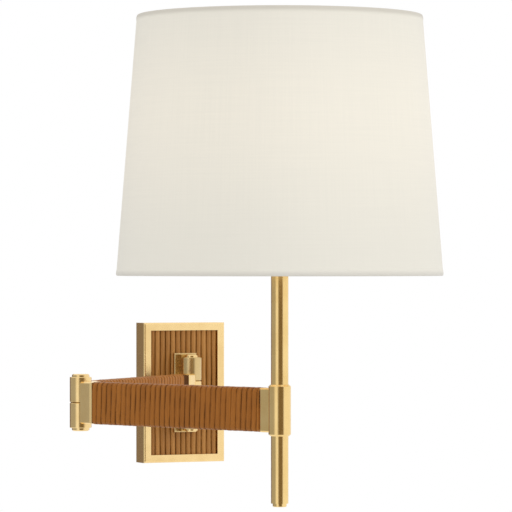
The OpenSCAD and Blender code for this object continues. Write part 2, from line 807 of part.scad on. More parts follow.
module switch_key() {
    c = key_corner;
    color("black") on_stem() translate([0, 0, key_z]) rotate([90, 0, 0]) {
        translate([0, 0, key_foot_in]) cylinder(r = key_r, h = socket_r + 2 * key_blade_out);
        translate([0, 0, socket_r + key_blade_out]) rotate([90, 0, 0]) linear_extrude(key_blade_t, center = true)
            polygon([[-key_waist / 2, 0], [key_waist / 2, 0], [key_grip / 2, 1.5 * c],
                [key_grip / 2, key_reach - c], [key_grip / 2 - c, key_reach], [c - key_grip / 2, key_reach],
                [-key_grip / 2, key_reach - c], [-key_grip / 2, 1.5 * c]]);
    }
}

module bulb_base() {
    color("silver") on_stem() translate([0, 0, base_z]) rotate_extrude()
        polygon([[0, -base_tip], [5, -base_tip], [6, -1], [base_r - 2, 0], [base_r, 2], [base_r, base_h],
            [0, base_h]]);
}

// Closed outline of a bulb of one radius on a neck of another, up from z = 0
module bulb_form(neck, r, low, centre) {
    reach = norm([neck, centre - low]);
    lean = atan2(low - centre, neck) + acos(r / reach);
    rotate_extrude() polygon(concat([[0, low], [neck, low]],
        [for (i = [0 : 16]) let (a = lean + (90 - lean) * i / 16) [i == 16 ? 0 : r * cos(a), centre + r * sin(a)]]));
}

module bulb_glass() {
    centre = bulb_h - bulb_r;
    color("white") on_stem() translate([0, 0, glass_z]) difference() {
        bulb_form(neck_r, bulb_r, 0, centre);
        bulb_form(neck_r - glass_t, bulb_r - glass_t, -over, centre);
    }
}

// ---- Shade ----

// Outer radius of the shade at a height above its lower edge
function shade_r(z) = (shade_bottom_d + (shade_top_d - shade_bottom_d) * z / shade_h) / 2;

// Band of the shade's cone between two heights, from one depth outside it to another
module shade_band(z0, z1, out, thick) {
    on_stem() translate([0, 0, shade_lift]) rotate_extrude($fn = 128)
        polygon([[shade_r(z0) + out - thick, z0], [shade_r(z0) + out, z0], [shade_r(z1) + out, z1],
            [shade_r(z1) + out - thick, z1]]);
}

function ring_at(z) = shade_r(z) - shade_wall - ring_r - run_gap;

module shade_skin() {
    color("ivory") shade_band(0, shade_h, 0, shade_wall);
}

module shade_top_hem() {
    color("beige") shade_band(shade_h - hem_h, shade_h, hem_t + seat_gap, hem_t);
}

module shade_bottom_hem() {
    color("beige") shade_band(0, hem_h, hem_t + seat_gap, hem_t);
}

module shade_bottom_ring() {
    color("white") on_stem() translate([0, 0, shade_lift + ring_inset]) rotate_extrude($fn = 128)
        translate([ring_at(ring_inset), 0]) circle(r = ring_r);
}

module shade_top_ring() {
    z = shade_h - ring_inset;
    ring_z = shade_lift + z;
    hub_z = harp_top_z + washer_hub_h / 2;
    run = ring_at(z) - washer_hub_r + spider_lap;
    climb = ring_z - hub_z;
    color("white") on_stem() difference() {
        union() {
            translate([0, 0, ring_z]) rotate_extrude($fn = 128) translate([ring_at(z), 0]) circle(r = ring_r);
            translate([0, 0, harp_top_z]) cylinder(r = washer_hub_r, h = washer_hub_h);
            for (i = [0 : spider_arms - 1]) rotate([0, 0, 90 + i * 360 / spider_arms])
                translate([washer_hub_r - spider_lap, 0, hub_z]) rotate([0, 90 - atan2(climb, run), 0])
                    cylinder(r = ring_r - spider_thin, h = norm([run, climb]));
        }
        translate([0, 0, harp_top_z - over]) cylinder(r = stud_r + seat_gap, h = washer_hub_h + 2 * over);
    }
}

module finial() {
    r = finial_r;
    bore = stud_r + seat_gap;
    depth = stud_h - washer_hub_h + over;
    color("goldenrod") on_stem() translate([0, 0, harp_top_z + washer_hub_h]) rotate_extrude()
        polygon(concat([[bore, 0], [r, 0], [r, finial_rim], [bore + 0.8, 2 * finial_rim]],
            [for (i = [0 : 10]) let (a = -50 + 14 * i) [i == 10 ? 0 : r * cos(a), 1.5 * r + r * sin(a)]],
            [[0, depth], [bore, depth]]));
}

mounting_strap();
ground_screw();
backplate_frame();
frame_screws();
panel_board();
panel_screws();
panel_reeds();
hinge_bracket();
bracket_screws();
wall_pin();
wall_pin_caps();
rear_wall_ferrule();
wall_washers();
rear_arm_tube();
rear_wrap();
rear_elbow_ferrule();
elbow_washer();
front_elbow_ferrule();
elbow_pin();
elbow_pin_caps();
front_arm_tube();
front_wrap();
front_stem_ferrule();
stem_tube();
stem_foot_cap();
stem_keeper_ring();
stem_plug();
socket_nipple();
harp_saddle();
harp();
harp_sleeves();
socket_cap();
socket_shell();
socket_liner();
socket_holder();
socket_screw_shell();
switch_key();
bulb_base();
bulb_glass();
shade_skin();
shade_top_ring();
shade_bottom_ring();
shade_top_hem();
shade_bottom_hem();
finial();
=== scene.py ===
"""Builds the looks of a swing arm wall sconce round its fixed model. An add-on, run as a script."""

import json
import math
import random

import bmesh
import bpy
from bpy.props import FloatProperty, FloatVectorProperty, IntProperty, PointerProperty
from bpy.types import Operator, Panel, PropertyGroup
from mathutils import Matrix, Vector


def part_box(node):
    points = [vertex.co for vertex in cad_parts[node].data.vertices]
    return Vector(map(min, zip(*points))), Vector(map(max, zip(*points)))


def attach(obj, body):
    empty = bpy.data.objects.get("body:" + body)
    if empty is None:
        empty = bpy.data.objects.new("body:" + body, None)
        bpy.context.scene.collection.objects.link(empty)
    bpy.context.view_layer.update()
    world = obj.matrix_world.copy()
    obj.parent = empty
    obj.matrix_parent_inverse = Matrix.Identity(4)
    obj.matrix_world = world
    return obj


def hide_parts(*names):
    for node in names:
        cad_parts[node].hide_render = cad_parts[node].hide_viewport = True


bl_info = {
    "name": "Swing Arm Wall Sconce",
    "version": (1, 0, 0),
    "blender": (4, 5, 0),
    "location": "View3D > Sidebar > Sconce",
    "description": "Adds the brass, rattan and linen of a swing arm wall sconce",
    "category": "Add Mesh",
}

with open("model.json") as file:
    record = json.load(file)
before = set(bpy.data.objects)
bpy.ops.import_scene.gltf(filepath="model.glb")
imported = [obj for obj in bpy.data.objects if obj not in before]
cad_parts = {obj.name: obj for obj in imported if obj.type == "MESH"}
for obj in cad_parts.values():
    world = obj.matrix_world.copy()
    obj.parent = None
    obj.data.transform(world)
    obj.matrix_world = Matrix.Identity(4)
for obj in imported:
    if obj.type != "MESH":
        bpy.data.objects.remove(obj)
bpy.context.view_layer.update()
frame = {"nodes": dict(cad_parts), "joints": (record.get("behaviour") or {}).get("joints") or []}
JOINTS = {joint["name"]: joint for joint in frame["joints"]}
WALL_AXIS = Vector(JOINTS["wall_pivot"]["pos_m"])
ELBOW_AXIS = Vector(JOINTS["elbow_pivot"]["pos_m"])
STEM_AXIS = Vector(JOINTS["stem_swivel"]["pos_m"])

# Maps and attributes that the pieces carry and the materials read
STRAND_MAP = "strand_map"
STRAND_TONE = "strand_tone"
STRAND_GROOVE_SHADE = "strand_groove_shade"
CLOTH_MAP = "cloth_map"


# ---- Small helpers ----


def length(name, text, default):
    """A length property in metres."""
    return FloatProperty(name=name, description=text, default=default, min=0.0, unit="LENGTH",
                         precision=5)


def colour(name, text, default):
    """A colour property."""
    return FloatVectorProperty(name=name, description=text, default=default, subtype="COLOR",
                               size=3, min=0.0, max=1.0)


def sizes():
    return bpy.context.scene.sconce_sizes


def colours():
    return bpy.context.scene.sconce_colours


def heading(start, end):
    """Frame with its origin at start, X towards end, and Z up."""
    along = (end - start).normalized()
    turn = math.atan2(along.y, along.x)
    return Matrix.Translation(start) @ Matrix.Rotation(turn, 4, "Z")


def toned(base, red, green=None, blue=None):
    """A colour times one factor, or times a factor for each channel."""
    factors = (red, red if green is None else green, red if blue is None else blue)
    return tuple(channel * factor for channel, factor in zip(base, factors))


def mesh_object(bm, name):
    """Turns a bmesh into an object in the scene, and frees it."""
    mesh = bpy.data.meshes.new(name)
    bm.to_mesh(mesh)
    bm.free()
    made = bpy.data.objects.new(name, mesh)
    bpy.context.scene.collection.objects.link(made)
    return made


# ---- Node trees ----


def plug(tree, node, **sockets):
    """Links or sets a node's inputs. One is given by name, with _ for a space, or as s0, s1 and so
    on by number."""
    for name, value in sockets.items():
        numbered = name[0] == "s" and name[1:].isdigit()
        socket = node.inputs[int(name[1:]) if numbered else name.replace("_", " ")]
        if isinstance(value, bpy.types.NodeSocket):
            tree.links.new(value, socket)
        else:
            socket.default_value = value


def put(tree, kind, settings=None, **sockets):
    """Adds a node with its settings and inputs."""
    node = tree.nodes.new(kind)
    for name, value in (settings or {}).items():
        setattr(node, name, value)
    plug(tree, node, **sockets)
    return node


def maths(tree, operation, *values):
    sockets = {f"s{i}": value for i, value in enumerate(values)}
    return put(tree, "ShaderNodeMath", {"operation": operation}, **sockets).outputs[0]


def opaque(value):
    """A colour as four numbers. A socket is left as it is."""
    return value if isinstance(value, bpy.types.NodeSocket) else (*tuple(value)[:3], 1.0)


def mix(tree, factor, first, second):
    """Mixes two colours."""
    return put(tree, "ShaderNodeMix", {"data_type": "RGBA"}, s0=factor, s6=opaque(first),
               s7=opaque(second)).outputs[2]


def spread(tree, value, low, high, to_low=0.0, to_high=1.0):
    """Maps a value smoothly from one range to another."""
    return put(tree, "ShaderNodeMapRange", {"interpolation_type": "SMOOTHSTEP"}, Value=value,
               From_Min=low, From_Max=high, To_Min=to_low, To_Max=to_high).outputs[0]


def split(tree, vector):
    """The three components of a vector."""
    return put(tree, "ShaderNodeSeparateXYZ", Vector=vector).outputs


def stretched(tree, vector, factors):
    """A vector times a factor for each axis."""
    return put(tree, "ShaderNodeVectorMath", {"operation": "MULTIPLY"}, s0=vector,
               s1=factors).outputs[0]


def bump(tree, height, strength, distance):
    return put(tree, "ShaderNodeBump", Height=height, Strength=strength,
               Distance=distance).outputs[0]


def group_of(name, inputs, outputs):
    """A new shader group with its named sockets, and its input and output nodes."""
    tree = bpy.data.node_groups.new(name, "ShaderNodeTree")
    for socket, kind, default in inputs:
        item = tree.interface.new_socket(socket, in_out="INPUT", socket_type="NodeSocket" + kind)
        if default is not None:
            item.default_value = default
    for socket, kind in outputs:
        tree.interface.new_socket(socket, in_out="OUTPUT", socket_type="NodeSocket" + kind)
    return tree, tree.nodes.new("NodeGroupInput").outputs, tree.nodes.new("NodeGroupOutput")


def stretched_noise_group():
    """Noise drawn out along one axis: brushing, grain and fibre."""
    tree, given, out = group_of(
        "Stretched Noise",
        [("Vector", "Vector", None), ("Stretch", "Vector", (1.0, 1.0, 1.0)),
         ("Scale", "Float", 5.0), ("Detail", "Float", 3.0)],
        [("Mask", "Float")])
    drawn = stretched(tree, given["Vector"], given["Stretch"])
    noise = put(tree, "ShaderNodeTexNoise", Vector=drawn, Scale=given["Scale"],
                Detail=given["Detail"], Roughness=0.6)
    plug(tree, out, Mask=noise.outputs[0])
    return tree


# How far the weave's threads stray, in metres, and how the slubs in them are drawn out, in waves
# per metre
THREAD_STRAY = 0.0012
SLUB_WAVES = ((700.0, 14.0, 1.0), (14.0, 700.0, 1.0))


def weave_group():
    """Plain weave on a map in metres: the height of the threads, and their uneven tone."""
    tree, given, out = group_of(
        "Plain Weave",
        [("Vector", "Vector", None), ("Pitch", "Float", 0.0008)],
        [("Height", "Float"), ("Tone", "Float")])
    place = split(tree, given["Vector"])
    wobble = put(tree, "ShaderNodeTexNoise", Vector=given["Vector"], Scale=90.0, Detail=2.0)
    push = maths(tree, "MULTIPLY", maths(tree, "SUBTRACT", wobble.outputs[0], 0.5), THREAD_STRAY)
    across, along = (maths(tree, "DIVIDE", maths(tree, "ADD", place[axis], push), given["Pitch"])
                     for axis in (0, 1))
    waves = (maths(tree, "SINE", maths(tree, "MULTIPLY", run, math.pi)) for run in (across, along))
    warp, weft = (maths(tree, "ABSOLUTE", wave) for wave in waves)
    cell = maths(tree, "ADD", maths(tree, "FLOOR", across), maths(tree, "FLOOR", along))
    parity = maths(tree, "FLOORED_MODULO", cell, 2.0)
    over = maths(tree, "ADD", maths(tree, "MULTIPLY", parity, maths(tree, "SUBTRACT", warp, weft)),
                 weft)
    slub_across, slub_along = (
        put(tree, "ShaderNodeTexNoise", {"noise_dimensions": "2D"}, Scale=1.0, Detail=3.0,
            Vector=stretched(tree, given["Vector"], drawn)).outputs[0] for drawn in SLUB_WAVES)
    tone = maths(tree, "MULTIPLY", maths(tree, "ADD", slub_across, slub_along), 0.5)
    plug(tree, out, Height=over, Tone=tone)
    return tree


# ---- Materials ----

# The shader groups and the finished materials, by name
SHARED = {}
LOOKS = {}

# Strength of the lamp's light in the linen, in the liner and on the bulb
LINEN_GLOW = 0.085
LINER_GLOW = 0.26
BULB_GLOW = 0.65
# Height of the bulb in the shade as a share of the shade's height, and how far its light reaches
BULB_SHARE = 0.62
GLOW_REACH = 0.13
# Distances from the rim between which the painted shade of the folded linen gives way to the plain
# linen's colour
RIM_FADE = (0.0016, 0.0056)


def group(tree, shared, **sockets):
    """Places a shared group in a tree."""
    return put(tree, "ShaderNodeGroup", {"node_tree": SHARED[shared]}, **sockets).outputs


def surface(name):
    """A new material: its tree, its Principled node, and its texture coordinates."""
    material = bpy.data.materials.new(name)
    material.use_nodes = True
    tree = material.node_tree
    coords = tree.nodes.new("ShaderNodeTexCoord").outputs
    return material, tree, tree.nodes["Principled BSDF"], coords


def brass_material(name, base, roughness=0.20):
    """Satin brass under clear lacquer: long fine brushing and a slow cloudy patina."""
    material, tree, shader, coords = surface(name)
    brushing = group(tree, "noise", Vector=coords["Object"], Stretch=(1.0, 1.0, 0.03),
                     Scale=2600.0, Detail=2.0)["Mask"]
    cloud = group(tree, "noise", Vector=coords["Object"], Scale=46.0, Detail=4.0)["Mask"]
    patina = spread(tree, cloud, 0.35, 0.75)
    brush_rough, patina_rough = 0.06, 0.05
    rough = maths(tree, "ADD", maths(tree, "MULTIPLY", brushing, brush_rough),
                  maths(tree, "MULTIPLY", patina, patina_rough))
    plug(tree, shader,
         Base_Color=mix(tree, patina, base, toned(base, 0.94, 0.91, 0.85)),
         Roughness=maths(tree, "ADD", rough, roughness - patina_rough),
         Normal=bump(tree, brushing, strength=0.022, distance=0.00004),
         Metallic=1.0, Coat_Weight=0.15, Coat_Roughness=0.2, Coat_IOR=1.4)
    return material


def rattan_material(name, light, dark, groove, gloss):
    """Varnished split rattan: fibres along the strand, a tone for each strand, and painted shade on
    the flanks where they turn into the grooves.
    """
    material, tree, shader, coords = surface(name)
    fibre_map = put(tree, "ShaderNodeUVMap", {"uv_map": STRAND_MAP}).outputs[0]
    tones, flank = (put(tree, "ShaderNodeAttribute", {"attribute_name": attribute}).outputs["Fac"]
                    for attribute in (STRAND_TONE, STRAND_GROOVE_SHADE))
    fibres = group(tree, "noise", Vector=fibre_map, Stretch=(30.0, 1500.0, 1.0), Scale=1.0,
                   Detail=3.0)["Mask"]
    blotch = group(tree, "noise", Vector=coords["Object"], Scale=70.0, Detail=3.0)["Mask"]
    groove_shade_noise = group(tree, "noise", Vector=coords["Object"], Scale=55.0, Detail=2.0)["Mask"]
    streak_share, tone_share, blotch_share = 0.34, 0.50, 0.22
    streak = spread(tree, fibres, 0.32, 0.68)
    blend = maths(tree, "ADD", maths(tree, "MULTIPLY", streak, streak_share),
                  maths(tree, "MULTIPLY", tones, tone_share))
    blend = maths(tree, "ADD", blend, maths(tree, "MULTIPLY", blotch, blotch_share))
    body = mix(tree, blend, dark, light)
    # Painted shade in the grooves, made uneven along them by noise
    depth = spread(tree, groove_shade_noise, 0.36, 0.62, 0.25, 0.95)
    plug(tree, shader,
         Base_Color=mix(tree, maths(tree, "MULTIPLY", flank, depth), body, groove),
         Roughness=spread(tree, fibres, 0.2, 0.8, 0.52, 0.36),
         Normal=bump(tree, fibres, strength=0.35, distance=0.0003),
         Specular_IOR_Level=gloss)
    return material


def linen_material(name, base, glow, rim=None):
    """Off-white linen on a hard liner, softly lit by the lamp inside. Towards the shade's rims it
    turns to the rim colour, where one is given: painted shade, because folded linen lets less light
    through."""
    material, tree, shader, coords = surface(name)
    cloth_map = put(tree, "ShaderNodeUVMap", {"uv_map": CLOTH_MAP}).outputs[0]
    weave = group(tree, "weave", Vector=cloth_map, Pitch=0.0007)
    uneven = spread(tree, weave["Tone"], 0.3, 0.7)
    cloth = mix(tree, uneven, toned(base, 0.985), base)
    height = split(tree, coords["Object"])[2]
    low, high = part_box("shade_skin")
    if rim is not None:
        from_rim = maths(tree, "MINIMUM", maths(tree, "SUBTRACT", height, low.z),
                         maths(tree, "SUBTRACT", high.z, height))
        cloth = mix(tree, spread(tree, from_rim, *RIM_FADE), rim, cloth)
    bulb_height = low.z + BULB_SHARE * (high.z - low.z)
    away = maths(tree, "ABSOLUTE", maths(tree, "SUBTRACT", height, bulb_height))
    lit = spread(tree, away, 0.0, GLOW_REACH, 1.0, 0.0)
    even_share, thread_share = 0.85, 0.15
    thread_light = maths(tree, "ADD", even_share, maths(tree, "MULTIPLY", uneven, thread_share))
    brightness = maths(tree, "MULTIPLY", lit, thread_light)
    plug(tree, shader,
         Base_Color=cloth,
         Emission_Color=mix(tree, brightness, (0.0, 0.0, 0.0), glow),
         Emission_Strength=LINEN_GLOW,
         Normal=bump(tree, weave["Height"], strength=0.18, distance=0.00012),
         Roughness=0.85, Sheen_Weight=0.15)
    return material


def liner_material(name, base, glow):
    """Smooth white liner of the shade, a little mottled and lit by the lamp."""
    material, tree, shader, coords = surface(name)
    mottle = group(tree, "noise", Vector=coords["Object"], Scale=25.0, Detail=2.0)["Mask"]
    soft = spread(tree, mottle, 0.3, 0.7)
    plug(tree, shader,
         Base_Color=mix(tree, soft, base, toned(base, 0.97)),
         Emission_Color=mix(tree, soft, glow, toned(glow, 0.9)),
         Emission_Strength=LINER_GLOW, Roughness=0.6)
    return material


def plain_material(name, base, roughness, metallic=1.0, gloss=0.5):
    """Plated or stoved metal, enamel or moulding, with a light uneven finish."""
    material, tree, shader, coords = surface(name)
    cloud = group(tree, "noise", Vector=coords["Object"], Scale=160.0, Detail=3.0)["Mask"]
    plug(tree, shader,
         Base_Color=mix(tree, spread(tree, cloud, 0.35, 0.7), base, toned(base, 0.92)),
         Roughness=spread(tree, cloud, 0.3, 0.7, roughness, roughness + 0.12),
         Metallic=metallic, Specular_IOR_Level=gloss)
    return material


def board_material(name, base):
    """Stained board with a faint grain."""
    material, tree, shader, coords = surface(name)
    grain = group(tree, "noise", Vector=coords["Object"], Stretch=(1.0, 1.0, 0.08), Scale=420.0,
                  Detail=4.0)["Mask"]
    plug(tree, shader,
         Base_Color=mix(tree, spread(tree, grain, 0.35, 0.7), base, toned(base, 1.5)),
         Normal=bump(tree, grain, strength=0.2, distance=0.0002),
         Roughness=0.7)
    return material


def bulb_material(name, base, warm):
    """Frosted glass, lit from inside with a faint mist of the lamp's warm colour."""
    material, tree, shader, coords = surface(name)
    mist = group(tree, "noise", Vector=coords["Object"], Scale=120.0, Detail=2.0)["Mask"]
    plug(tree, shader,
         Base_Color=mix(tree, mist, base, toned(base, 0.95)),
         Emission_Color=mix(tree, mist, warm, base),
         Emission_Strength=BULB_GLOW, Roughness=0.35)
    return material


def make_materials():
    """Every finish of the sconce, by name."""
    tone = colours()
    brass = tone.brass
    glow = tone.lamp_glow
    SHARED.update(noise=stretched_noise_group(), weave=weave_group())
    LOOKS.update(
        brass=brass_material("satin_brass", brass),
        # The backplate's brass is a lighter copy of the brass: painted light on the plate's face.
        plate_brass=brass_material("plate_brass", toned(brass, 1.04), 0.27),
        # The stem's brass is a darker, warmer copy of the brass: painted shade under the lampshade.
        stem_brass=brass_material("stem_brass", toned(brass, 0.98, 0.965, 0.88)),
        # The hinge bracket's brass is a darker copy of the brass: painted shade and a painted dark
        # reflection of the rattan round it.
        cast_brass=brass_material("cast_brass", toned(brass, 0.76), 0.28),
        socket_brass=brass_material("socket_brass", brass, 0.34),
        wrap=rattan_material("varnished_rattan_strand", tone.wrap_light, tone.wrap_dark,
                             tone.groove_shade_colour, 0.12),
        reed=rattan_material("varnished_rattan_reed", tone.reed_light, tone.reed_dark,
                             tone.groove_shade_colour, 0.4),
        linen=linen_material("linen_on_liner", tone.linen, glow),
        hem=linen_material("linen_tape", tone.linen, glow, tone.tape),
        # The top tape is darker than the bottom one: painted shade, as the top rim is farther from
        # the bulb.
        top_hem=linen_material("linen_top_tape_painted_shade", tone.linen, glow, tone.top_tape),
        liner=liner_material("styrene_liner", (0.85, 0.82, 0.75), glow),
        enamel=plain_material("white_enamel", (0.82, 0.81, 0.77), 0.4, 0.0),
        plated=plain_material("zinc_plate", (0.66, 0.66, 0.64), 0.3),
        # The arm tubes are dark brown where they show beside the ferrules: painted shade in the
        # gaps at the wrap's ends.
        arm=plain_material("brown_tube_painted_shade", (0.10, 0.036, 0.008), 0.75, 0.0, 0.1),
        green=plain_material("green_plate", (0.03, 0.30, 0.09), 0.35),
        fibre=plain_material("dark_fibre", (0.05, 0.045, 0.04), 0.6, 0.0),
        phenolic=plain_material("black_phenolic", (0.02, 0.02, 0.02), 0.35, 0.0),
        bulb_cap=plain_material("bulb_cap_metal", (0.75, 0.75, 0.73), 0.25),
        board=board_material("stained_board", (0.10, 0.045, 0.02)),
        bulb=bulb_material("frosted_bulb", (0.60, 0.58, 0.53), glow),
    )


# The finish of each node of the fixed model
CAD_LOOKS = {
    "cast_brass": ("hinge_bracket",),
    "plate_brass": ("backplate_frame",),
    "stem_brass": ("stem_tube", "front_stem_ferrule", "stem_foot_cap"),
    "brass": ("wall_pin_caps", "rear_wall_ferrule", "rear_elbow_ferrule", "front_elbow_ferrule",
              "elbow_pin_caps", "frame_screws", "finial", "harp"),
    "socket_brass": ("socket_cap", "socket_shell", "harp_saddle", "harp_sleeves", "socket_nipple",
                     "socket_screw_shell"),
    "plated": ("mounting_strap", "panel_screws", "bracket_screws", "wall_pin", "elbow_pin",
               "stem_keeper_ring", "stem_plug"),
    "green": ("ground_screw",),
    "board": ("panel_board",),
    "reed": ("panel_reeds",),
    "wrap": ("rear_wrap", "front_wrap"),
    "arm": ("rear_arm_tube", "front_arm_tube"),
    "fibre": ("wall_washers", "elbow_washer"),
    "phenolic": ("socket_liner", "socket_holder", "switch_key"),
    "bulb_cap": ("bulb_base",),
    "bulb": ("bulb_glass",),
    "linen": ("shade_skin",),
    "hem": ("shade_bottom_hem",),
    "top_hem": ("shade_top_hem",),
    "enamel": ("shade_top_ring", "shade_bottom_ring"),
}


def dress_cad_nodes():
    """Gives each node of the fixed model its finish."""
    for look, nodes in CAD_LOOKS.items():
        for node in nodes:
            materials = frame["nodes"][node].data.materials
            materials.clear()
            materials.append(LOOKS[look])


# ---- Meshes ----


def piece_from(bm, name, body, looks, replaced, sharp):
    """Turns a bmesh into a finished piece that rides on its body, with a finish for each material
    index. Edges of sharp degrees and more stay sharp."""
    piece = mesh_object(bm, name)
    mesh = piece.data
    mesh.shade_smooth()
    mesh.set_sharp_from_angle(angle=math.radians(sharp))
    for look in looks:
        mesh.materials.append(LOOKS[look])
    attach(piece, body)
    if replaced:
        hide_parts(*replaced)
    return piece


class Sweep:
    """Draws a closed section along a path with bmesh's extrude, and keeps a map, a tone and how
    much painted groove shade lies at each point.
    """

    def __init__(self):
        self.bm = bmesh.new()
        self.uv = self.bm.loops.layers.uv.new(STRAND_MAP)
        self.tone = self.bm.verts.layers.float.new(STRAND_TONE)
        self.flank = self.bm.verts.layers.float.new(STRAND_GROOVE_SHADE)

    def start(self, places, tone):
        """First ring of the section, closed by a face. places are (point, across, flank), where
        flank is how much painted groove shade lies there.
        """
        self.across = [across for _, across, _ in places]
        self.flanks = [flank for _, _, flank in places]
        self.ring = [self.bm.verts.new(point) for point, _, _ in places]
        self.edges = [self.bm.edges.new((vert, self.ring[(i + 1) % len(self.ring)]))
                      for i, vert in enumerate(self.ring)]
        self.along = 0.0
        self.paint(tone)
        self.cap()

    def paint(self, tone):
        """Writes the tone and the painted groove shade on the ring."""
        for vert, flank in zip(self.ring, self.flanks):
            vert[self.tone] = tone
            vert[self.flank] = flank

    def step(self, points, tone, gone):
        """Extrudes the ring to the next points, gone metres further on."""
        made = bmesh.ops.extrude_edge_only(self.bm, edges=self.edges)["geom"]
        new_edges = [item for item in made if isinstance(item, bmesh.types.BMEdge)]
        faces = [item for item in made if isinstance(item, bmesh.types.BMFace)]
        old = {vert: index for index, vert in enumerate(self.ring)}
        follow = {}
        for face in faces:
            for edge in face.edges:
                a, b = edge.verts
                if (a in old) != (b in old):
                    follow.update({a: b} if a in old else {b: a})
        fresh = [follow[vert] for vert in self.ring]
        new = {vert: index for index, vert in enumerate(fresh)}
        index_of = {**old, **new}
        for face in faces:
            indices = [index_of[loop.vert] for loop in face.loops]
            seam = max(indices) - min(indices) == len(fresh) - 1
            for loop, index in zip(face.loops, indices):
                across = self.across[index]
                if seam and index == 0:
                    across = self.across[-1] + (self.across[1] - self.across[0])
                loop[self.uv].uv = (self.along + (0.0 if loop.vert in old else gone), across)
        for vert, point in zip(fresh, points):
            vert.co = point
        self.ring = fresh
        self.edges = [edge for edge in new_edges if edge.verts[0] in new and edge.verts[1] in new]
        self.along += gone
        self.paint(tone)

    def cap(self):
        """Closes the sweep with a face on its ring."""
        self.bm.faces.new(self.ring)


# ---- Sizes and colours ----


class SconceSizes(PropertyGroup):
    """Sizes of the parts that are added to the fixed model."""

    strand_pitch: length("Strand Pitch", "Distance from one turn to the next", 0.00627)
    strand_groove: length("Strand Groove", "Mean groove between two turns of the strand", 0.00012)
    strand_thick: length("Strand Thickness", "Thickness of the rattan strand", 0.0015)
    strand_wander: length("Strand Wander", "How far the strand's edges stray", 0.00014)
    # The bare length at the wall shows the dark tube: painted shade beside the wall ferrule.
    wall_shade_gap: length("Bare Length at the Wall", "Arm left bare beside the wall ferrule", 0.0125)
    elbow_bare: length("Bare Length at the Elbow", "Arm left bare beside an elbow ferrule", 0.0008)
    stem_bare: length("Bare Length at the Stem", "Arm left bare beside the stem ferrule", 0.0001)
    wrap_corner: length("Wrap Corner", "Outer radius of the wrap at the arm's long edges", 0.0035)
    arm_height: length("Arm Height", "Height over the wrap", 0.038)
    arm_thick: length("Arm Thickness", "Thickness over the wrap", 0.0145)
    reed_wander: length("Reed Wander", "How far the panel's reeds stray from straight", 0.00025)
    reed_count: IntProperty(name="Reeds", description="Reeds in the panel", default=13, min=1)
    shade_wall: length("Shade Wall", "Thickness of the linen on its liner", 0.001)
    tape_height: length("Tape Height", "Height of the linen tape on the shade's rims", 0.0055)
    tape_thick: length("Tape Thickness", "How far the tape stands proud of the shade", 0.0003)
    seam_width: length("Seam Width", "Width of the lap in the linen at the shade's back", 0.012)
    seed: IntProperty(name="Seed", description="Seed of the rattan's variation", default=7, min=0)


class SconceColours(PropertyGroup):
    """Colours of the finishes, as linear values."""

    brass: colour("Brass", "Satin brass", (0.95, 0.70, 0.335))
    wrap_light: colour("Wrap Light", "Lighter fibres of the wrapped strand", (0.435, 0.162, 0.0275))
    wrap_dark: colour("Wrap Dark", "Darker fibres of the wrapped strand", (0.200, 0.062, 0.0090))
    # Painted shade in the grooves, on the flanks of the strands and reeds
    groove_shade_colour: colour("Groove", "Flanks of the strands and reeds", (0.075, 0.021, 0.002))
    reed_light: colour("Reed Light", "Lighter fibres of the panel's reeds", (0.55, 0.262, 0.066))
    reed_dark: colour("Reed Dark", "Darker fibres of the panel's reeds", (0.30, 0.118, 0.018))
    linen: colour("Linen", "Off-white linen of the shade", (0.88, 0.848, 0.755))
    # Tape and Top Tape are darkened linen: painted shade in the folded linen, darker still at the
    # top rim.
    tape: colour("Tape", "Linen folded over the bottom rim", (0.75, 0.72, 0.65))
    top_tape: colour("Top Tape", "Linen folded over the top rim", (0.67, 0.635, 0.56))
    lamp_glow: colour("Lamp Glow", "Warm light of the bulb behind the linen", (1.0, 0.78, 0.52))


# ---- Rattan ----

# Angle between two faces, in degrees, from which the edge between them stays sharp
RATTAN_SHARP = 50.0


def wander(rng, count, reach):
    """Smooth random offsets: a few slow waves with random phases."""
    waves = [(rng.uniform(0.5, 1.0), rng.uniform(0.04, 0.9), rng.uniform(0.0, math.tau))
             for _ in range(5)]
    total = sum(weight for weight, _, _ in waves)
    # Waves seldom peak together, so their sum is drawn out to come near the reach
    peak = 1.8
    return [reach * sum(weight * math.sin(rate * i + phase) for weight, rate, phase in waves)
            / total * peak for i in range(count)]


# Steps of the strand's way round an arm, with Y across it: along half of its underside, round a
# corner, up its -Y side, over its top and down its +Y side
UNDER_STEPS = 2
CORNER_STEPS = 4
FRONT_STEPS = 10
TOP_STEPS = 4
BACK_STEPS = 8
# Places from the start of the way to the middle of the -Y side, where each turn is counted from
FRONT_MIDDLE = UNDER_STEPS + CORNER_STEPS + FRONT_STEPS // 2


def way_round(half_y, half_z, radius):
    """Points and outward directions round a rounded rectangle, from the middle of the underside up
    the -Y side."""
    places = []

    def straight(start, end, outward, steps):
        for i in range(steps):
            t = i / steps
            places.append((start[0] + t * (end[0] - start[0]), start[1] + t * (end[1] - start[1]),
                           outward))

    def corner(cy, cz, first):
        for i in range(CORNER_STEPS):
            a = first - (i / CORNER_STEPS) * math.pi / 2
            places.append((cy + radius * math.cos(a), cz + radius * math.sin(a),
                           (math.cos(a), math.sin(a))))

    y = half_y - radius
    z = half_z - radius
    straight((0.0, -half_z), (-y, -half_z), (0.0, -1.0), UNDER_STEPS)
    corner(-y, -z, -math.pi / 2)
    straight((-half_y, -z), (-half_y, z), (-1.0, 0.0), FRONT_STEPS)
    corner(-y, z, math.pi)
    straight((-y, half_z), (y, half_z), (0.0, 1.0), TOP_STEPS)
    corner(y, z, math.pi / 2)
    straight((half_y, z), (half_y, -z), (1.0, 0.0), BACK_STEPS)
    corner(y, -z, 0.0)
    straight((y, -half_z), (0.0, -half_z), (0.0, -1.0), UNDER_STEPS)
    return places


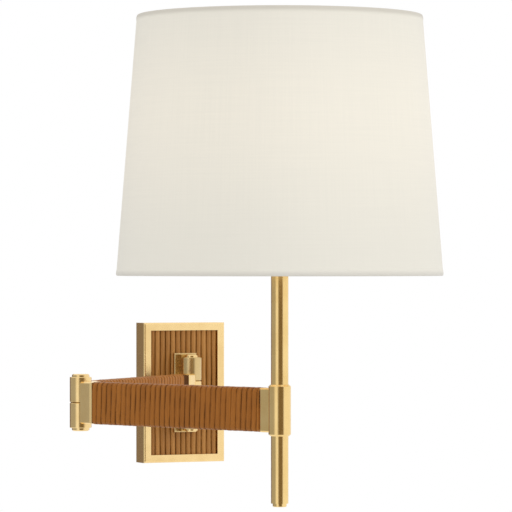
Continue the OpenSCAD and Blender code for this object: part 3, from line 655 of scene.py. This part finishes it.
# Section of a split strand: across as a share of its half width, out as a share of its thickness,
# and how much painted shade lies on its flank there
STRAND = ((-1.0, 0.0, 1.0), (-1.0, 0.50, 1.0), (-0.93, 0.80, 0.72), (-0.78, 0.94, 0.26),
          (-0.40, 1.0, 0.05), (0.0, 1.0, 0.0), (0.40, 1.0, 0.05), (0.78, 0.94, 0.26),
          (0.93, 0.80, 0.72), (1.0, 0.50, 1.0), (1.0, 0.0, 1.0))
# Share of its width to which the strand is trimmed at both ends, and how far its thickness strays
STRAND_END = 0.12
STRAND_LIFT = 0.00010
# Tone of the darkest turn as a share of the palest one's
DARKEST_TONE = 0.4
# Seeds that set one piece's variation apart from another's
REAR_SEED = 11
FRONT_SEED = 23
REED_SEED = 40
# Tone of the palest turn on each arm. The rear arm's strand is made the paler one: painted light on
# the rear arm's side
REAR_PALEST_PAINTED_LIGHT = 2.1
FRONT_PALEST = 1.0


def wrap_arm(name, body, wrap, tube, start, end, bare_start, bare_end, palest, seed):
    """One strand wound round an arm from ferrule to ferrule, with both ends trimmed to a taper so
    that the wrap ends square."""
    size = sizes()
    rng = random.Random(size.seed + seed)
    place = heading(start, end)
    inverse = place.inverted()
    along = [(inverse @ vert.co).x for vert in frame["nodes"][tube].data.vertices]
    near = min(along) + bare_start
    far = max(along) - bare_end
    thick = size.strand_thick
    way = way_round(size.arm_thick / 2 - thick, size.arm_height / 2 - thick,
                    size.wrap_corner - thick)
    around = len(way)
    pitch = size.strand_pitch
    half = (pitch - size.strand_groove) / 2
    begin = round((STRAND_END - 1.0) * around)
    count = round(((far - near) / pitch - STRAND_END) * around) - begin
    left = wander(rng, count + 1, size.strand_wander)
    right = wander(rng, count + 1, size.strand_wander)
    lift = wander(rng, count + 1, STRAND_LIFT)
    # A tone for each turn, and a few to spare at both ends
    turn_tones = [palest * (DARKEST_TONE + (1.0 - DARKEST_TONE) * rng.random())
                  for _ in range(count // around + 4)]

    def at(i):
        return way[(i + begin + FRONT_MIDDLE) % around]

    def ring(i):
        y, z, (out_y, out_z) = at(i)
        centre = near + pitch * ((i + begin) / around + 0.5)
        low = max(near, centre - half + left[i])
        high = min(far, centre + half + right[i])
        points = []
        for across, out, _ in STRAND:
            x = low + (high - low) * (across + 1.0) / 2.0
            reach = out * (thick + lift[i])
            points.append(place @ Vector((x, y + out_y * reach, z + out_z * reach)))
        return points

    def tone(i):
        turn = (i + begin) / around + 1.5
        whole = int(turn)
        part = turn - whole
        return turn_tones[whole] * (1 - part) + turn_tones[whole + 1] * part

    sweep = Sweep()
    sweep.start([(point, across * pitch / 2, flank)
                 for point, (across, _, flank) in zip(ring(0), STRAND)], tone(0))
    for i in range(1, count + 1):
        (y0, z0, _), (y1, z1, _) = at(i - 1), at(i)
        sweep.step(ring(i), tone(i), math.hypot(y1 - y0, z1 - z0))
    sweep.cap()
    bmesh.ops.recalc_face_normals(sweep.bm, faces=sweep.bm.faces)
    return piece_from(sweep.bm, name, body, ("wrap",), (wrap,), RATTAN_SHARP)


# Angle from a reed's crown, in degrees, at which painted shade begins on its flank
REED_SHADE_FROM = 46.0
# Section of a reed: the angle from its crown, and how much painted shade lies on its flank there
REED = tuple((angle, max(0.0, abs(angle) - REED_SHADE_FROM) / (90.0 - REED_SHADE_FROM))
             for angle in range(-90, 91, 15))
REED_STEPS = 26
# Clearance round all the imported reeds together, and the clearance that each laid reed keeps
PANEL_GAP = 0.00016
REED_GAP = 0.00005
# How far a reed's radius strays, and how far from its ends its unevenness begins
REED_SWELL = 0.00012
REED_EASE = 0.008
# A reed is broken in two where the bracket's foot reaches past its middle by this share of its
# width
FOOT_COVER = 0.35


def lay_reeds():
    """The panel's reeds: half rounds side by side, each a little uneven, broken by the bracket's
    foot."""
    size = sizes()
    rng = random.Random(size.seed + REED_SEED)
    low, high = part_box("panel_reeds")
    foot_low, foot_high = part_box("hinge_bracket")
    foot_half = (foot_high.x - foot_low.x) / 2
    pitch = (high.x - low.x + PANEL_GAP) / size.reed_count
    radius = pitch / 2 - REED_GAP
    sweep = Sweep()
    for number in range(size.reed_count):
        x = low.x - PANEL_GAP / 2 + (number + 0.5) * pitch
        sway = wander(rng, REED_STEPS + 1, size.reed_wander)
        swell = wander(rng, REED_STEPS + 1, REED_SWELL)
        tone = rng.random()

        def ring(z):
            part = round((z - low.z) / (high.z - low.z) * REED_STEPS)
            ease = min(1.0, (z - low.z) / REED_EASE, (high.z - z) / REED_EASE)
            reach = radius + swell[part] * ease
            points = []
            for angle, _ in REED:
                a = math.radians(angle)
                points.append(Vector((x + sway[part] * ease * math.cos(a) + reach * math.sin(a),
                                      high.y - reach * math.cos(a), z)))
            return points

        broken = abs(x) + FOOT_COVER * pitch < foot_half
        spans = [(low.z, foot_low.z), (foot_high.z, high.z)] if broken else [(low.z, high.z)]
        for bottom, top in spans:
            heights = [bottom + (top - bottom) * i / REED_STEPS for i in range(REED_STEPS + 1)]
            sweep.start([(point, math.radians(angle) * radius, flank)
                         for point, (angle, flank) in zip(ring(heights[0]), REED)], tone)
            for z in heights[1:]:
                sweep.step(ring(z), tone, (top - bottom) / REED_STEPS)
            sweep.cap()
    bmesh.ops.recalc_face_normals(sweep.bm, faces=sweep.bm.faces)
    return piece_from(sweep.bm, "panel_reeds_laid", "wall_plate", ("reed",),
                      ("panel_reeds",), RATTAN_SHARP)


# ---- Shade ----

# Steps round the shade, and round the lap in its linen
SHADE_STEPS = 160
LAP_STEPS = 4
# Clearance between the linen and what lies on it, and how far the lap stands out
CLOTH_GAP = 0.00002
LAP_OUT = 0.00035
# Where the lap is, as an angle from +X, which is at the back of the shade
LAP_ANGLE = math.radians(90.0)
# Section of a rolled hem: the share of its height up from the rim, and of its thickness
HEM = ((0.0, -2.6), (0.04, -1.2), (0.10, -0.3), (0.18, 0.35), (0.30, 0.80), (0.44, 1.0),
       (0.60, 0.90), (0.76, 0.64), (0.90, 0.32), (1.0, 0.08))
# Shares of a hem's height at which the linen stops inside it and its inner corner is rounded, and
# the share of the shade's wall that it covers at the rim
HEM_SEAT = 0.2
HEM_CORNER = 0.04
HEM_COVER = 0.9
# How near to the shade's top a point counts as on its rim
RIM_DEPTH = 0.001
# Angle between two faces, in degrees, from which the edge between them stays sharp
CLOTH_SHARP = 35.0
# Cosine of the angle to the outward direction below which a face counts as turned to the axis
TURNED_IN = -0.5


def turn_ring(name, looks, profile, centre, replaced=(), steps=SHADE_STEPS, start=0.0,
              angle=math.tau):
    """Spins a closed profile of (radius, height) round a vertical axis, and maps it in metres.
    Where there are two finishes, the second is on the faces turned to the axis."""
    bm = bmesh.new()
    verts = [bm.verts.new((radius, 0.0, height)) for radius, height in profile]
    edges = [bm.edges.new((verts[i], verts[(i + 1) % len(verts)])) for i in range(len(verts))]
    whole = angle >= math.tau
    made = bmesh.ops.spin(bm, geom=[*verts, *edges], axis=(0.0, 0.0, 1.0), cent=(0.0, 0.0, 0.0),
                          angle=angle, steps=steps, use_merge=whole)
    if not whole:
        bm.faces.new(verts)
        bm.faces.new([item for item in made["geom_last"] if isinstance(item, bmesh.types.BMVert)])
    bmesh.ops.rotate(bm, verts=bm.verts, cent=(0.0, 0.0, 0.0),
                     matrix=Matrix.Rotation(start, 3, "Z"))
    bmesh.ops.translate(bm, verts=bm.verts, vec=centre)
    bmesh.ops.recalc_face_normals(bm, faces=bm.faces)
    uv = bm.loops.layers.uv.new(CLOTH_MAP)
    mean = sum(radius for radius, _ in profile) / len(profile)
    for face in bm.faces:
        middle = face.calc_center_median() - centre
        about = math.atan2(middle.y, middle.x)
        outward = Vector((middle.x, middle.y, 0.0)).normalized()
        if len(looks) > 1 and face.normal.dot(outward) < TURNED_IN:
            face.material_index = 1
        for loop in face.loops:
            spot = loop.vert.co - centre
            turn = math.atan2(spot.y, spot.x) - about
            turn = (turn + math.pi) % math.tau - math.pi
            loop[uv].uv = ((about + turn) * mean, spot.z)
    return piece_from(bm, name, "lamp_stem", looks, replaced, CLOTH_SHARP)


def band(radius_at, low, high, inner, outer):
    """Profile of a cone's band between two heights and two depths, the outer ones first."""
    return [(radius_at(low) + outer, low), (radius_at(high) + outer, high),
            (radius_at(high) + inner, high), (radius_at(low) + inner, low)]


def rolled_hem(radius_at, rim, inward, wall, thick):
    """Profile of a hem rolled over the shade's rim, reaching inward metres from it along the shade.
    The linen itself stops short of the rim, inside the hem."""
    outer = [(radius_at(rim + share * inward) + out * thick, rim + share * inward)
             for share, out in HEM]
    end = rim + inward
    seat = rim + HEM_SEAT * inward
    return [*outer, (radius_at(end) + CLOTH_GAP, end), (radius_at(seat) + CLOTH_GAP, seat),
            (radius_at(seat) - wall, seat), (radius_at(rim) - wall, rim + HEM_CORNER * inward),
            (radius_at(rim) - HEM_COVER * wall, rim)]


# ---- Stage ----

# Lens in millimetres on a sensor 36 mm wide, place, and direction of view
CAMERA_LENS = 249.6
CAMERA_PLACE = (-1.3657, -3.1935, 0.1255)
CAMERA_LOOK = Vector((0.41366, 0.91045, 0.0021))
STAGE_MIDDLE = Vector((0.0, -0.3, 0.1))
FLOOR_HEIGHT = -0.9
FLOOR_HALF = 4.0
WHITE = (1.0, 1.0, 1.0, 1.0)
# Plain light of the room from below and from above, and the heights between which it changes
ROOM_LOW = (0.60, 0.60, 0.60)
ROOM_HIGH = (0.86, 0.86, 0.86)
ROOM_TURN = (-0.3, 0.9)
# Each row is a name, a place, the side of the square lamp and its power in watts
SOFTBOXES = (("key_softbox", (1.8, -2.4, 0.9), 1.6, 18.0),
             ("fill_softbox", (-2.6, -1.6, 0.6), 1.4, 10.0))
# Boards that stand round the sconce and show only in its polished metal, as dark bands against the
# white room. Each row is a name, the bearings of both edges in degrees to the right of the camera,
# how bright the board is, its colour, and the shares of its width that fade out at the left and at
# the right
FELT = (1.0, 0.79, 0.67)
GREY = (1.0, 1.0, 1.0)
WALNUT = (1.0, 0.74, 0.40)
BOARDS = (("felt_board", -172, -116, 0.20, FELT, 0.42, 0.22),
          ("grey_board", -124, -41, 0.43, GREY, 0.10, 0.31),
          ("walnut_board", -26, 42, 0.21, WALNUT, 0.27, 0.18))
BOARD_AWAY = 2.5
BOARD_FOOT = FLOOR_HEIGHT
BOARD_TOP = 1.95
BOARD_TOP_FADE = 0.4


def make_camera():
    data = bpy.data.cameras.new("sconce_camera")
    data.sensor_width = 36.0
    data.lens = CAMERA_LENS
    camera = bpy.data.objects.new("sconce_camera", data)
    camera.location = CAMERA_PLACE
    camera.rotation_mode = "QUATERNION"
    camera.rotation_quaternion = CAMERA_LOOK.to_track_quat("-Z", "Y")
    bpy.context.scene.collection.objects.link(camera)
    bpy.context.scene.camera = camera


def background_rays(tree):
    """1 for the rays that see the white background: camera, glossy and transmission rays."""
    rays = put(tree, "ShaderNodeLightPath").outputs
    return maths(tree, "MAXIMUM", rays["Is Camera Ray"],
                 maths(tree, "MAXIMUM", rays["Is Glossy Ray"], rays["Is Transmission Ray"]))


def make_world():
    """A white room: white to the camera, in metal and through glass, and a plain soft light to the
    rest."""
    world = bpy.data.worlds.new("studio")
    world.use_nodes = True
    bpy.context.scene.world = world
    tree = world.node_tree
    tree.nodes.clear()
    height = split(tree, put(tree, "ShaderNodeTexCoord").outputs["Generated"])[2]
    plain = mix(tree, spread(tree, height, *ROOM_TURN), ROOM_LOW, ROOM_HIGH)
    background = put(tree, "ShaderNodeBackground", Strength=1.0,
                     Color=mix(tree, background_rays(tree), plain, WHITE))
    put(tree, "ShaderNodeOutputWorld", Surface=background.outputs[0])


def stage_sheet(name, place):
    """A one-face sheet of the stage, two metres square before its place is applied, and what
    surface gives for its material."""
    bm = bmesh.new()
    bm.loops.layers.uv.new("sheet_map")
    bmesh.ops.create_grid(bm, x_segments=1, y_segments=1, size=1.0, matrix=place, calc_uvs=True)
    sheet = mesh_object(bm, name)
    made = surface(name)
    sheet.data.materials.append(made[0])
    return sheet, made


def blend_shaders(tree, factor, first, second):
    """Mixes two shaders."""
    return put(tree, "ShaderNodeMixShader", s0=factor, s1=first.outputs[0], s2=second.outputs[0])


def glow_and_clear(tree, tint):
    """A glowing shader of one colour, and a clear one."""
    return (put(tree, "ShaderNodeEmission", Color=tint, Strength=1.0),
            put(tree, "ShaderNodeBsdfTransparent", Color=WHITE))


def stand_board(name, left, right, level, tint, fade_left, fade_right):
    """Stands one board between its two bearings, facing the sconce."""
    turn = math.radians((left + right) / 2)
    to_camera = Vector((-CAMERA_LOOK.x, -CAMERA_LOOK.y, 0.0)).normalized()
    aside = Vector((CAMERA_LOOK.y, -CAMERA_LOOK.x, 0.0)).normalized()
    out = to_camera * math.cos(turn) + aside * math.sin(turn)
    along = aside * math.cos(turn) - to_camera * math.sin(turn)
    middle = STAGE_MIDDLE + out * BOARD_AWAY
    middle.z = (BOARD_FOOT + BOARD_TOP) / 2
    half_wide = BOARD_AWAY * math.tan(math.radians(right - left) / 2)
    up = Vector((0.0, 0.0, (BOARD_TOP - BOARD_FOOT) / 2))
    turned = Matrix((along * half_wide, up, out)).transposed().to_4x4()
    board, (material, tree, _, coords) = stage_sheet(name, Matrix.Translation(middle) @ turned)
    over = split(tree, coords["UV"])
    sides = maths(tree, "MULTIPLY", spread(tree, over[0], 0.0, fade_left),
                  spread(tree, over[0], 1.0 - fade_right, 1.0, 1.0, 0.0))
    there = maths(tree, "MULTIPLY", sides,
                  spread(tree, over[1], 1.0 - BOARD_TOP_FADE, 1.0, 1.0, 0.0))
    glow, clear = glow_and_clear(tree, opaque(toned(tint, level)))
    plug(tree, tree.nodes["Material Output"],
         Surface=blend_shaders(tree, there, clear, glow).outputs[0])
    material.cycles.emission_sampling = "NONE"
    board.visible_camera = False
    board.visible_diffuse = False
    board.visible_transmission = False
    board.visible_shadow = False


def make_floor():
    """A pale floor far below, white to the rays that see the background. From below it is clear, so
    that the sconce can be looked at from there."""
    place = Matrix.Translation((0.0, 0.0, FLOOR_HEIGHT)) @ Matrix.Scale(FLOOR_HALF, 4)
    _, (_, tree, shader, _) = stage_sheet("floor", place)
    plug(tree, shader, Base_Color=(0.8, 0.8, 0.8, 1.0), Roughness=0.9)
    glow, clear = glow_and_clear(tree, WHITE)
    above = blend_shaders(tree, background_rays(tree), shader, glow)
    from_below = put(tree, "ShaderNodeNewGeometry").outputs["Backfacing"]
    plug(tree, tree.nodes["Material Output"],
         Surface=blend_shaders(tree, from_below, above, clear).outputs[0])


def stand_softbox(name, place, side, power):
    """A square soft lamp turned to the stage's middle, which doesn't show in metal."""
    data = bpy.data.lights.new(name, "AREA")
    data.shape = "SQUARE"
    data.size = side
    data.energy = power
    lamp = bpy.data.objects.new(name, data)
    lamp.location = place
    lamp.rotation_mode = "QUATERNION"
    lamp.rotation_quaternion = (STAGE_MIDDLE - Vector(place)).to_track_quat("-Z", "Y")
    lamp.visible_glossy = False
    bpy.context.scene.collection.objects.link(lamp)


# ---- Operators ----


class SCONCE_OT_materials(Operator):
    """Make every finish and put it on the parts of the fixed model"""

    bl_idname = "sconce.materials"
    bl_label = "Finishes"

    def execute(self, context):
        make_materials()
        dress_cad_nodes()
        return {"FINISHED"}


class SCONCE_OT_wraps(Operator):
    """Wind a rattan strand round each arm"""

    bl_idname = "sconce.wraps"
    bl_label = "Arm Wraps"

    def execute(self, context):
        size = sizes()
        wrap_arm("rear_arm_strand", "rear_arm", "rear_wrap", "rear_arm_tube", WALL_AXIS, ELBOW_AXIS,
                 size.wall_shade_gap, size.elbow_bare, REAR_PALEST_PAINTED_LIGHT, REAR_SEED)
        wrap_arm("front_arm_strand", "front_arm", "front_wrap", "front_arm_tube", ELBOW_AXIS,
                 STEM_AXIS, size.elbow_bare, size.stem_bare, FRONT_PALEST, FRONT_SEED)
        return {"FINISHED"}


class SCONCE_OT_panel(Operator):
    """Lay the reeds of the backplate's panel"""

    bl_idname = "sconce.panel"
    bl_label = "Reed Panel"

    def execute(self, context):
        lay_reeds()
        return {"FINISHED"}


class SCONCE_OT_shade(Operator):
    """Make the linen shade with its taped rims and lapped seam"""

    bl_idname = "sconce.shade"
    bl_label = "Shade"

    def execute(self, context):
        size = sizes()
        low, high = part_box("shade_skin")
        base = Vector((STEM_AXIS.x, STEM_AXIS.y, 0.0))
        wide = (high.x - low.x) / 2
        narrow = max((Vector((vert.co.x, vert.co.y, 0.0)) - base).length
                     for vert in frame["nodes"]["shade_skin"].data.vertices
                     if vert.co.z > high.z - RIM_DEPTH)

        def radius_at(z):
            return wide + (narrow - wide) * (z - low.z) / (high.z - low.z)

        wall = size.shade_wall
        tape = size.tape_height
        short = HEM_SEAT * tape + CLOTH_GAP
        linen = turn_ring("shade_linen", ("linen", "liner"),
                          band(radius_at, low.z + short, high.z - short, -wall, 0.0), base,
                          ("shade_skin",))
        bottom = turn_ring("shade_bottom_tape", ("hem",),
                           rolled_hem(radius_at, low.z, tape, wall, size.tape_thick), base,
                           ("shade_bottom_hem",))
        top = turn_ring("shade_top_tape", ("top_hem",),
                        rolled_hem(radius_at, high.z, -tape, wall, size.tape_thick), base,
                        ("shade_top_hem",))
        lap = size.seam_width / radius_at((low.z + high.z) / 2)
        seam = turn_ring("shade_seam", ("linen",),
                         band(radius_at, low.z + tape, high.z - tape, CLOTH_GAP, LAP_OUT), base,
                         steps=LAP_STEPS, start=LAP_ANGLE - lap / 2, angle=lap)
        # The linen is a flat sector of a cone, laminated on its liner and rolled round two rings
        return {"FINISHED"}


class SCONCE_OT_stage(Operator):
    """Add the camera, the pale floor, the white room and the soft studio light"""

    bl_idname = "sconce.stage"
    bl_label = "Stage"

    def execute(self, context):
        context.scene.view_settings.view_transform = "Standard"
        make_camera()
        make_world()
        for board in BOARDS:
            stand_board(*board)
        make_floor()
        for softbox in SOFTBOXES:
            stand_softbox(*softbox)
        return {"FINISHED"}


class SCONCE_PT_panel(Panel):
    """Buttons and sizes of the sconce"""

    bl_idname = "SCONCE_PT_panel"
    bl_label = "Wall Sconce"
    bl_space_type = "VIEW_3D"
    bl_region_type = "UI"
    bl_category = "Sconce"

    def draw(self, context):
        column = self.layout.column()
        for operator in OPERATORS:
            column.operator(operator.bl_idname)
        for settings in (context.scene.sconce_sizes, context.scene.sconce_colours):
            for name in settings.__annotations__:
                column.prop(settings, name)


OPERATORS = (SCONCE_OT_materials, SCONCE_OT_wraps, SCONCE_OT_panel, SCONCE_OT_shade,
             SCONCE_OT_stage)
CLASSES = (SconceSizes, SconceColours, *OPERATORS, SCONCE_PT_panel)


def register():
    for cls in CLASSES:
        bpy.utils.register_class(cls)
    bpy.types.Scene.sconce_sizes = PointerProperty(type=SconceSizes)
    bpy.types.Scene.sconce_colours = PointerProperty(type=SconceColours)


def unregister():
    del bpy.types.Scene.sconce_colours
    del bpy.types.Scene.sconce_sizes
    for cls in reversed(CLASSES):
        bpy.utils.unregister_class(cls)


def main():
    register()
    bpy.ops.sconce.materials()
    bpy.ops.sconce.wraps()
    bpy.ops.sconce.panel()
    bpy.ops.sconce.shade()
    bpy.ops.sconce.stage()


if __name__ == "__main__":
    main()
